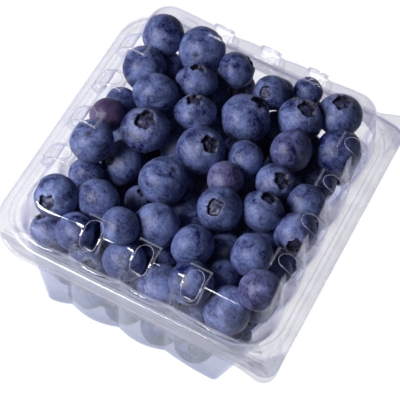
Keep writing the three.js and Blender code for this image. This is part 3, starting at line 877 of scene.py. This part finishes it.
CREASE_MARGIN = 1.1  # no face of a berry may cut across a crease
# Growth makes up for a berry's flattened ends.
DETAIL = {"top": {"columns": 54, "rows": 25, "growth": 1.055, "seed": 11},
          "below": {"columns": 24, "rows": 12, "growth": 1.12, "seed": 12}}


def pole_direction(kind, right_share, up_share, draw):
    """The direction of a berry's crown."""
    right, up, back = view_axes()
    if kind == "none":
        angle = draw.uniform(0, 2 * math.pi)
        right_share = HIDDEN_POLE["aside"] * math.cos(angle)
        up_share = HIDDEN_POLE["aside"] * math.sin(angle)
        towards = HIDDEN_POLE["towards"]
    else:
        towards = math.sqrt(max(1 - right_share ** 2 - up_share ** 2, 0))
    pole = right * right_share + up * up_share + back * towards
    return -pole if kind == "stem" else pole


def ragged(phi, draw, waves, amount):
    """An uneven outline: a sum of waves round the crown, each smaller than the last."""
    return sum(amount / wave ** WAVE_FADING * np.sin(wave * phi + draw.uniform(0, 2 * math.pi))
               for wave in waves)


def berry_grid(columns, rows, flat, draw):
    """A berry of unit radius with its crown up: points by ring, and each point's crown,
    rim and stem shares."""
    phi = np.arange(columns) / columns * 2 * math.pi
    rim = CROWN["rim"] * draw.uniform(*CROWN["rim_range"])
    turn = draw.uniform(0, 2 * math.pi)
    notch = ((1 + np.cos(CROWN["lobes"] * (phi - turn))) / 2) ** CROWN["notch_power"]
    opening = OPENING["least"] + OPENING["notch"] * notch
    opening = opening + ragged(phi, draw, OPENING["waves"], OPENING["ragged"])
    crest = CROWN["lift"] * (1 - CROWN["notch_lift"] * notch)
    crest = crest * (1 + ragged(phi, draw, CREST["waves"], CREST["ragged"]))
    depth = CROWN["depth"] * draw.uniform(*CROWN["depth_range"])

    q = np.array(CROWN_RINGS)[:, None]
    inside = 1 - smoothstep(opening - OPENING["edge"][0], opening + OPENING["edge"][1], q)
    on_rim = (1 - inside) * (1 - smoothstep(*CROWN["fades"], q))
    # The torn sepals' edge inside the opening, which also carries the painted shade of the crown's
    # hollow.
    torn_and_shaded = np.exp(-((q - opening + OPENING["torn_and_shaded"]) / OPENING["torn_and_shaded_width"]) ** 2)
    waves = np.sin(CREASED_FLOOR["rings"] * q + CREASED_FLOOR["waves"] * phi + turn)
    crown_height = (flat * np.sqrt(1 - (rim * q) ** 2) - depth * inside + crest * on_rim
                    + PISTIL["height"] * (q < PISTIL["radius"])
                    + CREASED_FLOOR["height"] * inside * waves)

    start = math.asin(rim * CROWN_RINGS[-1])
    down = (np.arange(1, rows)[:, None] / rows) ** ROW_CROWDING
    from_stem = (math.pi - start) * (1 - down)
    dimple = STEM["dimple"] * np.exp(-(from_stem / STEM["dimple_angle"]) ** 2)
    none = np.zeros((rows - 1, columns))

    rho = np.concatenate([rim * q, np.sin(from_stem)])
    height = np.concatenate([crown_height, none - flat * np.cos(from_stem) + dimple])
    rings = np.stack([rho * np.cos(phi), rho * np.sin(phi), height], 2).reshape(-1, 3)
    points = np.concatenate([[[0, 0, flat - depth * TOP_SINKS]], rings,
                             [[0, 0, STEM["middle"] - flat]]])
    crowns = np.concatenate([np.maximum(FLOOR_SHARE * inside, torn_and_shaded), none])
    rims = np.concatenate([on_rim, none])
    scars = np.exp(-(from_stem / STEM["scar_angle"]) ** 4)
    stems = np.concatenate([0 * inside, none + scars])
    return points, [np.concatenate([[first], rows_of.ravel(), [last]]) for first, rows_of, last in
                    ((FLOOR_SHARE, crowns, 0), (0, rims, 0), (0, stems, 1))]


def grid_faces(columns, ring_count):
    """The faces of a berry: from its top point over its rings to its bottom point."""
    faces = []
    for j in range(columns):
        k = (j + 1) % columns
        faces.append((0, 1 + j, 1 + k))
        for i in range(ring_count - 1):
            a, b = 1 + i * columns + j, 1 + i * columns + k
            faces.append((a, a + columns, b + columns, b))
        last = 1 + (ring_count - 1) * columns
        faces.append((last + j, 1 + ring_count * columns, last + k))
    return faces


def drawn_in_by(lobe, along, vents):
    """How far a lobed wall keeps berries in, with a margin beside each crease."""
    return lobe * np.minimum(crease_share(along, vents) + 2 * CREASE_MARGIN / PITCH, 1) ** 2


def press(points):
    """Moves points that would stand in the plastic back inside it."""
    x, y, z = points.T
    z = np.clip(z, SHEET + SKIN_GAP["lid"], HEIGHT - SHEET - SKIN_GAP["lid"])
    room_x, room_y, corner = np.array([room_at(height) for height in z]).T
    lobe = np.where(z < SEAM_Z, LOBE_DEPTH["base"], LOBE_DEPTH["lid"])
    gap = np.where(z < SEAM_Z, SKIN_GAP["base"], SKIN_GAP["lid"])
    most_x = room_x - drawn_in_by(lobe, np.where(x < 0, -y, y), SIDE_VENTS) - gap
    most_y = room_y - drawn_in_by(lobe, np.where(y < 0, x, -x), FRONT_VENTS) - gap
    x, y = np.clip(x, -most_x, most_x), np.clip(y, -most_y, most_y)
    middle_x, middle_y = room_x - gap - corner, room_y - gap - corner
    past_x, past_y = np.abs(x) - middle_x, np.abs(y) - middle_y
    share = np.clip(corner / np.maximum(np.hypot(past_x, past_y), TINY), 0, 1)
    in_corner = (past_x > 0) & (past_y > 0)
    x = np.where(in_corner, np.sign(x) * (middle_x + past_x * share), x)
    y = np.where(in_corner, np.sign(y) * (middle_y + past_y * share), y)
    return np.stack([x, y, z], 1)


def berry_points(berry, detail, turn, draw):
    """One berry in its place: its points in millimetres, and their shares."""
    kind, right_share, up_share, flat = turn
    points, shares = berry_grid(detail["columns"], detail["rows"], flat, draw)
    offset = Vector([draw.uniform(-NOISE_REACH, NOISE_REACH) for _ in "xyz"])
    for scale, amount in UNEVENNESS:
        swell = np.array([noise.noise(Vector(p) * scale + offset) for p in points.tolist()])
        points = points * (1 + amount * swell)[:, None]
    if kind == "none":
        shares[2] = shares[2] * 0
    pole = pole_direction(kind, right_share, up_share, draw)
    spin = Matrix.Rotation(draw.uniform(0, 2 * math.pi), 3, "Z")
    turned = np.array(pole.to_track_quat("Z", "Y").to_matrix() @ spin)
    middle = np.array([berry["x"], berry["y"], berry["z"]])
    return press(middle + points @ turned.T * berry["radius"] * detail["growth"]), shares


def turn_of(index, draw):
    """A berry's end in view, the end's direction and the berry's height over its width."""
    if index is not None:
        return *ENDS.get(index, NO_END), FLATNESS.get(index, NEARLY_ROUND)
    kind = draw.choice(("crown", "none", "stem"))
    angle, reach = draw.uniform(0, 2 * math.pi), draw.uniform(*LOWER_TURNS["reach"])
    flat = draw.uniform(*LOWER_TURNS["flat"])
    return kind, reach * math.cos(angle), reach * math.sin(angle), flat


def make_berries(name, berries, detail, material):
    draw = random.Random(detail["seed"])
    faces_of_one = grid_faces(detail["columns"], len(CROWN_RINGS) + detail["rows"] - 1)
    points, faces, marks = [], [], []
    count = 0
    for berry in berries:
        made, shares = berry_points(berry, detail, turn_of(berry["top"], draw), draw)
        any_tint = draw.random()
        tint = np.full(len(made), BLOOMED.get(berry["top"], any_tint))
        purple = np.full(len(made), PURPLE.get(berry["top"], 0))
        faces += [tuple(corner + count for corner in face) for face in faces_of_one]
        points.append(made)
        marks.append((*shares, tint, purple))
        count += len(made)
    obj = mesh_object(name, np.concatenate(points), faces)
    for attribute, values in zip(("crown", "rim", "stem", "tint", "purple"), zip(*marks)):
        set_attribute(obj, attribute, np.concatenate(values))
    obj.data.materials.append(material)
    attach(obj, "base")
    return obj


CORE_LUMPS = {"size": 9, "height": 3, "levels": 5}


def make_core(material):
    """The middle of the heap, a lumpy stand-in for the hidden berries, dark as painted shade deep
    in the gaps.
    """
    corners = []
    for z in (CORE["depth"], CORE["top"]):
        room_x, room_y, _ = room_at(z)
        x, y = room_x - CORE["depth"], room_y - CORE["depth"]
        corners += [(-x, -y, z), (x, -y, z), (x, y, z), (-x, y, z)]
    faces = [(3, 2, 1, 0), (4, 5, 6, 7)] + band(range(4), range(4, 8))
    core = mesh_object("berry_core", corners, faces)
    subdivide = core.modifiers.new("fine", "SUBSURF")
    subdivide.subdivision_type = "SIMPLE"
    subdivide.levels = CORE_LUMPS["levels"]
    apply_modifiers(core)
    for vertex in core.data.vertices:
        lump = noise.noise(vertex.co / (CORE_LUMPS["size"] * MM)) * CORE_LUMPS["height"] * MM
        vertex.co += vertex.normal * lump
    core.data.materials.append(material)
    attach(core, "base")


# ---- materials

def srgb(r, g, b):
    """A colour from its 0 to 255 values."""
    def linear(value):
        value /= 255
        return value / 12.92 if value <= 0.04045 else ((value + 0.055) / 1.055) ** 2.4
    return linear(r), linear(g), linear(b), 1.0


MIX = {"share": 0, "first": 6, "second": 7, "result": 2}  # the Mix node's sockets for colours


class Nodes:
    """A material's node tree, with short ways to add and join nodes."""

    def __init__(self, name):
        self.material = bpy.data.materials.new(name)
        self.material.use_nodes = True
        self.tree = self.material.node_tree
        self.tree.nodes.clear()
        self.output = self.add("OutputMaterial")

    def add(self, kind, inputs=None, **settings):
        node = self.tree.nodes.new("ShaderNode" + kind)
        for key, value in settings.items():
            setattr(node, key, value)
        for key, value in (inputs or {}).items():
            self.set(node, key, value)
        return node

    def set(self, node, key, value):
        socket = node.inputs[key]
        if isinstance(value, bpy.types.NodeSocket):
            self.tree.links.new(value, socket)
        else:
            socket.default_value = value

    def shader(self, kind, inputs):
        return self.add(kind, inputs).outputs[0]

    def blend(self, share, first, second):
        return self.shader("MixShader", {0: share, 1: first, 2: second})

    def finished(self, surface):
        self.set(self.output, "Surface", surface)
        return self.material

    def math(self, operation, *values, clamp=False):
        node = self.add("Math", operation=operation, use_clamp=clamp)
        for index, value in enumerate(values):
            self.set(node, index, value)
        return node.outputs[0]

    def times(self, first, second):
        return self.math("MULTIPLY", first, second)

    def line(self, value, slope, start, clamp=False):
        """value * slope + start."""
        return self.math("MULTIPLY_ADD", value, slope, start, clamp=clamp)

    def around_half(self, value, slope, start, clamp=False):
        """(value - 0.5) * slope + start."""
        return self.line(self.math("SUBTRACT", value, 0.5), slope, start, clamp)

    def vector(self, operation, first, second):
        return self.add("VectorMath", {0: first, 1: second}, operation=operation).outputs[0]

    def noise(self, vector, size, detail=2.0, roughness=0.5, distortion=0.0):
        """Noise whose blotches are about size metres across."""
        node = self.add("TexNoise", {"Vector": vector, "Scale": 1 / size, "Detail": detail,
                                     "Roughness": roughness, "Distortion": distortion})
        return node.outputs["Fac"]

    def ramp(self, value, low, high):
        """0 up to low and 1 from high on."""
        node = self.add("MapRange", {"Value": value, "From Min": low, "From Max": high},
                        interpolation_type="SMOOTHSTEP")
        return node.outputs[0]

    def fall(self, value, low, high):
        """1 up to low and 0 from high on."""
        return self.math("SUBTRACT", 1.0, self.ramp(value, low, high))

    def bump(self, height, strength, distance):
        return self.shader("Bump", {"Strength": strength, "Distance": distance, "Height": height})

    def mix(self, share, first, second):
        """A colour between two."""
        node = self.add("Mix", {MIX["share"]: share, MIX["first"]: first,
                                MIX["second"]: second}, data_type="RGBA")
        return node.outputs[MIX["result"]]

    def attribute(self, name):
        return self.add("Attribute", attribute_name=name).outputs["Fac"]

    def place(self):
        return self.add("TexCoord").outputs["Object"]

    def part(self, vector, axis):
        return self.add("SeparateXYZ", {"Vector": vector}).outputs[axis]


# Lengths in the materials are in metres. Noise is given by its size, detail, roughness and
# distortion, and a pair is the low and the high end of a ramp.
CLEAR = srgb(254, 254, 255)
CLEAR_EDGE = srgb(216, 215, 230)
# Grey tint for the tabs and for the painted shade at the base's foot.
DULL_AND_SHADE_TINT = srgb(213, 215, 227)
HAZE = srgb(228, 229, 237)
MIRRORED = {"base": (0.85, 0.91, 1.0, 1.0), "lid": (0.93, 0.95, 1.0, 1.0)}
EDGE_POWER = 2.0  # how closely the darker look keeps to the edges
CLOUD = {"noise": (0.008, 3.0), "ramp": (0.25, 0.75), "heights": (0.050, 0.066), "share": 0.06}
STREAKS = {"across": 0.8, "up": 900, "along": 10, "noise": (1.0, 2.0), "ramp": (0.4, 0.68),
           "from": (0.0475, 0.0485), "to": (0.0519, 0.0526), "share": 0.5, "crease": 0.3}
RIPPLE = {"noise": (0.012, 2.0), "strength": 0.2, "height": 0.0004}
MIRROR = {"roughness": 0.06, "least": 0.04, "power": 5.0}


def rubbed_streaks_where_lit(n, place, height):
    """Fine scratches that run along the flanges, in the heights where they are; full on the lit
    front and faint on the other sides, following the light.
    """
    across = n.add("CombineXYZ", {"X": n.times(n.attribute("edge"), STREAKS["across"]),
                                  "Y": n.times(height, STREAKS["up"])})
    along = n.vector("MULTIPLY", place, (STREAKS["along"],) * 3)
    lines = n.noise(n.vector("ADD", across.outputs[0], along), *STREAKS["noise"])
    in_band = n.times(n.ramp(height, *STREAKS["from"]), n.fall(height, *STREAKS["to"]))
    in_band = n.times(in_band, n.attribute("rubbed"))
    return n.times(n.times(n.ramp(lines, *STREAKS["ramp"]), in_band), STREAKS["share"])


def make_plastic(name, mirrored):
    """Clear plastic: what is behind it, darker where it is seen along its surface, greyer on the
    tabs and, as painted shade, towards the base's foot, with haze, milky streaks on the flanges,
    painted highlights on creases and rib edges, and the light that its faces mirror."""
    n = Nodes(name)
    facing = n.add("LayerWeight", {"Blend": 0.5}).outputs["Facing"]
    place = n.place()
    height = n.part(place, "Z")
    # The greyer tint paints shade towards the base's foot and dulls the tabs.
    clear = n.mix(n.attribute("dull_and_shade"), CLEAR, DULL_AND_SHADE_TINT)
    clear = n.mix(n.math("POWER", facing, EDGE_POWER), clear, CLEAR_EDGE)
    cloud = n.times(n.ramp(n.noise(place, *CLOUD["noise"]), *CLOUD["ramp"]), CLOUD["share"])
    cloud = n.times(cloud, n.fall(height, *CLOUD["heights"]))
    # Painted highlights on creases and rib edges make the plastic milky there.
    crease = n.times(n.attribute("crease"), STREAKS["crease"])
    marks = n.math("ADD", rubbed_streaks_where_lit(n, place, height), crease)
    milky = n.blend(0.5, n.shader("BsdfDiffuse", {"Color": HAZE}),
                    n.shader("BsdfTranslucent", {"Color": HAZE}))
    body = n.blend(n.math("ADD", cloud, marks, clamp=True),
                   n.shader("BsdfTransparent", {"Color": clear}), milky)
    ripple = n.bump(n.noise(place, *RIPPLE["noise"]), RIPPLE["strength"], RIPPLE["height"])
    mirror = n.shader("BsdfGlossy", {"Color": mirrored, "Roughness": MIRROR["roughness"],
                                     "Normal": ripple})
    share = n.line(n.math("POWER", facing, MIRROR["power"]), 1 - MIRROR["least"], MIRROR["least"])
    return n.finished(n.blend(share, body, mirror))


SKIN_NAVY = srgb(4, 9, 74)
SKIN_PURPLE = srgb(52, 28, 62)
BLOOM = srgb(135, 151, 204)
BLOOM_PURPLE = srgb(142, 128, 172)
CROWN_FLOOR = srgb(80, 82, 116)
# Dark of the crown's scars and sepals, also painted as shade in the crown's hollow.
CROWN_DARK_AND_SHADE = srgb(18, 12, 24)
CROWN_RIM = srgb(140, 150, 192)
STEM_SCAR = srgb(58, 44, 40)
PATCHES = (0.0075, 3.0, 0.55, 0.8)
MOTTLE = (0.0011, 4.0, 0.7, 0.3)
SKIN_STREAKS = (0.003, 4.0, 0.75, 2.0)
COVER = {"mean": 0.38, "patches": 2.0, "mottle": 0.9, "streaks": 1.5, "tint": 0.3}
PURPLE_COVER = {"power": 4.0, "less": 0.5}  # a purple berry has less bloom
RIM_BLOOM = {"ramp": (0.35, 0.6), "share": 0.75}
SCAR = {"ramp": (0.42, 0.58), "share": 0.7}
CROWN_FROM = (0.15, 0.4)
TORN_AND_SHADED = {"mottle": 0.9, "ramp": (0.58, 0.8)}
SKIN = {"bump": 0.35, "bump_height": 0.0003, "bloom_roughness": 0.16, "roughness": 0.38,
        "specular": 0.25, "sheen": 0.03, "sheen_roughness": 0.4}


def bloom_cover(n, patches, mottle, streaks, purple):
    """How much of the skin is under bloom, 0 to 1."""
    cover = n.around_half(patches, COVER["patches"], COVER["mean"])
    cover = n.around_half(mottle, COVER["mottle"], cover)
    cover = n.around_half(streaks, COVER["streaks"], cover)
    cover = n.around_half(n.attribute("tint"), COVER["tint"], cover, clamp=True)
    unripe = n.math("POWER", purple, PURPLE_COVER["power"])
    return n.times(cover, n.line(unripe, -PURPLE_COVER["less"], 1.0))


def make_skin():
    """Blueberry skin: navy under a patchy, pale, waxy bloom that is rubbed off in places."""
    n = Nodes("berry_skin")
    place = n.place()
    patches, mottle, streaks = (n.noise(place, *kind) for kind in (PATCHES, MOTTLE, SKIN_STREAKS))
    purple, crown = n.attribute("purple"), n.attribute("crown")
    cover = bloom_cover(n, patches, mottle, streaks, purple)
    colour = n.mix(cover, n.mix(purple, SKIN_NAVY, SKIN_PURPLE),
                   n.mix(purple, BLOOM, BLOOM_PURPLE))
    rim = n.times(n.attribute("rim"), n.ramp(mottle, *RIM_BLOOM["ramp"]))
    colour = n.mix(n.times(rim, RIM_BLOOM["share"]), colour, CROWN_RIM)
    scar = n.mix(n.ramp(streaks, *SCAR["ramp"]), CROWN_FLOOR, CROWN_DARK_AND_SHADE)
    colour = n.mix(n.ramp(crown, *CROWN_FROM), colour, n.mix(SCAR["share"], CROWN_FLOOR, scar))
    # Painted shade: the ring inside the crown's opening is dark, with the sepals' own dark.
    torn_and_shaded = n.around_half(mottle, TORN_AND_SHADED["mottle"], crown)
    colour = n.mix(n.ramp(torn_and_shaded, *TORN_AND_SHADED["ramp"]), colour, CROWN_DARK_AND_SHADE)
    colour = n.mix(n.attribute("stem"), colour, STEM_SCAR)
    roughness = n.line(cover, SKIN["bloom_roughness"], SKIN["roughness"])
    return n.finished(n.shader("BsdfPrincipled", {
        "Base Color": colour, "Roughness": roughness, "Specular IOR Level": SKIN["specular"],
        "Sheen Weight": SKIN["sheen"], "Sheen Roughness": SKIN["sheen_roughness"],
        "Normal": n.bump(mottle, SKIN["bump"], SKIN["bump_height"])}))


# Darker than the berries' bloomed skin: painted shade deep in the heap's gaps.
CORE_SHADED_SKIN = {"dark": srgb(8, 9, 42), "light": srgb(20, 24, 74), "size": 0.005,
             "roughness": 0.8, "specular": 0.1}


def make_core_shaded_skin():
    n = Nodes("core_shaded_skin")
    colour = n.mix(n.noise(n.place(), CORE_SHADED_SKIN["size"]), CORE_SHADED_SKIN["dark"], CORE_SHADED_SKIN["light"])
    return n.finished(n.shader("BsdfPrincipled", {
        "Base Color": colour, "Roughness": CORE_SHADED_SKIN["roughness"],
        "Specular IOR Level": CORE_SHADED_SKIN["specular"]}))


CUT_EDGE_WITH_HIGHLIGHT = {"colour": srgb(205, 208, 226), "roughness": 0.25, "grain": 0.001,
            "grain_share": 0.5, "least": 0.3}


def make_cut_edge_with_highlight():
    """The pale, rough edge that a punch leaves in clear plastic, paler as painted highlight where
    the pale attribute is high.
    """
    n = Nodes("cut_edge_with_highlight")
    grain = n.noise(n.place(), CUT_EDGE_WITH_HIGHLIGHT["grain"])
    pale = n.shader("BsdfPrincipled", {"Base Color": CUT_EDGE_WITH_HIGHLIGHT["colour"],
                                       "Roughness": CUT_EDGE_WITH_HIGHLIGHT["roughness"]})
    share = n.times(n.line(grain, CUT_EDGE_WITH_HIGHLIGHT["grain_share"], CUT_EDGE_WITH_HIGHLIGHT["least"]), n.attribute("pale"))
    return n.finished(n.blend(share, n.shader("BsdfTransparent", {"Color": CLEAR}), pale))


# ---- stage

FLOOR = {"half": 3000, "z": -0.1, "paper": (0.16, 0.16, 0.165, 1)}
FLOOR_GLOW = {"seen": 1.0, "bounced": 0.025, "far_mirrored": 0.05}
NEAR_FRONT = (-0.105, -0.045)  # the floor in front of this is dark in the mirrored light
# Each light's direction, distance, size, power, colour, and whether it lights matt surfaces.
# The card doesn't: it gives only highlights.
LIGHTS = {"key": ((-0.60, -0.56, 0.57), 1.0, (0.56, 0.46), 14.4, (1, 1, 1), True),
          "card": ((-0.39, -0.73, 0.56), 1.0, (0.6, 0.55), 17.0, (1, 1, 1), False),
          "fill": ((0.85, -0.25, 0.55), 1.2, (0.8, 0.8), 0.04, (0.85, 0.9, 1.0), True)}
AMBIENT = {"colour": (0.45, 0.55, 1.0, 1), "strength": 0.02}
CLEAR_LAYERS = 48  # how many clear faces a line of sight may pass


def make_floor():
    """A pale floor that glows evenly to the eye and lights the part little."""
    half, z = FLOOR["half"], FLOOR["z"]
    floor = mesh_object("floor", [(-half, -half, z), (half, -half, z),
                                  (half, half, z), (-half, half, z)], [(0, 1, 2, 3)])
    n = Nodes("floor")
    path = n.add("LightPath")
    seen = FLOOR_GLOW["seen"]
    near = n.ramp(n.part(n.place(), "Y"), *NEAR_FRONT)
    mirrored = n.line(near, seen - FLOOR_GLOW["far_mirrored"], FLOOR_GLOW["far_mirrored"])
    strength = n.line(path.outputs["Is Glossy Ray"], n.math("SUBTRACT", mirrored, seen), seen)
    strength = n.line(path.outputs["Is Diffuse Ray"], FLOOR_GLOW["bounced"] - seen, strength)
    paper = n.shader("BsdfDiffuse", {"Color": FLOOR["paper"]})
    glow = n.shader("Emission", {"Color": (1, 1, 1, 1), "Strength": strength})
    floor.data.materials.append(n.finished(n.shader("AddShader", {0: paper, 1: glow})))


def add_light(name, direction, away, size, watts, colour, lights_matt):
    data = bpy.data.lights.new(name, "AREA")
    data.shape = "RECTANGLE"
    data.size, data.size_y = size
    data.energy = watts
    data.color = colour
    light = bpy.data.objects.new(name, data)
    towards = Vector(direction).normalized()
    light.location = Vector((0, 0, HEIGHT * MM / 2)) + towards * away
    light.rotation_euler = towards.to_track_quat("Z", "Y").to_euler()
    light.visible_diffuse = lights_matt
    bpy.context.scene.collection.objects.link(light)


def make_lights():
    for name, values in LIGHTS.items():
        add_light(name, *values)
    world = bpy.data.worlds.new("world")
    world.use_nodes = True
    background = world.node_tree.nodes["Background"]
    background.inputs["Color"].default_value = AMBIENT["colour"]
    background.inputs["Strength"].default_value = AMBIENT["strength"]
    scene = bpy.context.scene
    scene.world = world
    scene.view_settings.view_transform = "Standard"
    scene.cycles.transparent_max_bounces = CLEAR_LAYERS


# ---- all of it

make_camera()
make_floor()
make_lights()

make_base(make_plastic("base_plastic", MIRRORED["base"]))
make_lid(make_plastic("lid_plastic", MIRRORED["lid"]))
make_vent_rims(make_cut_edge_with_highlight())

skin = make_skin()
heap = [berry for berry in settle(place_berries()) if is_outer(berry)]
upper = [berry for berry in heap if berry["top"] is not None]
lower = [berry for berry in heap if berry["top"] is None]
top_piece = make_berries("berries_top", upper, DETAIL["top"], skin)
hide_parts("blueberries")
make_berries("berries_below", lower, DETAIL["below"], skin)
make_core(make_core_shaded_skin())
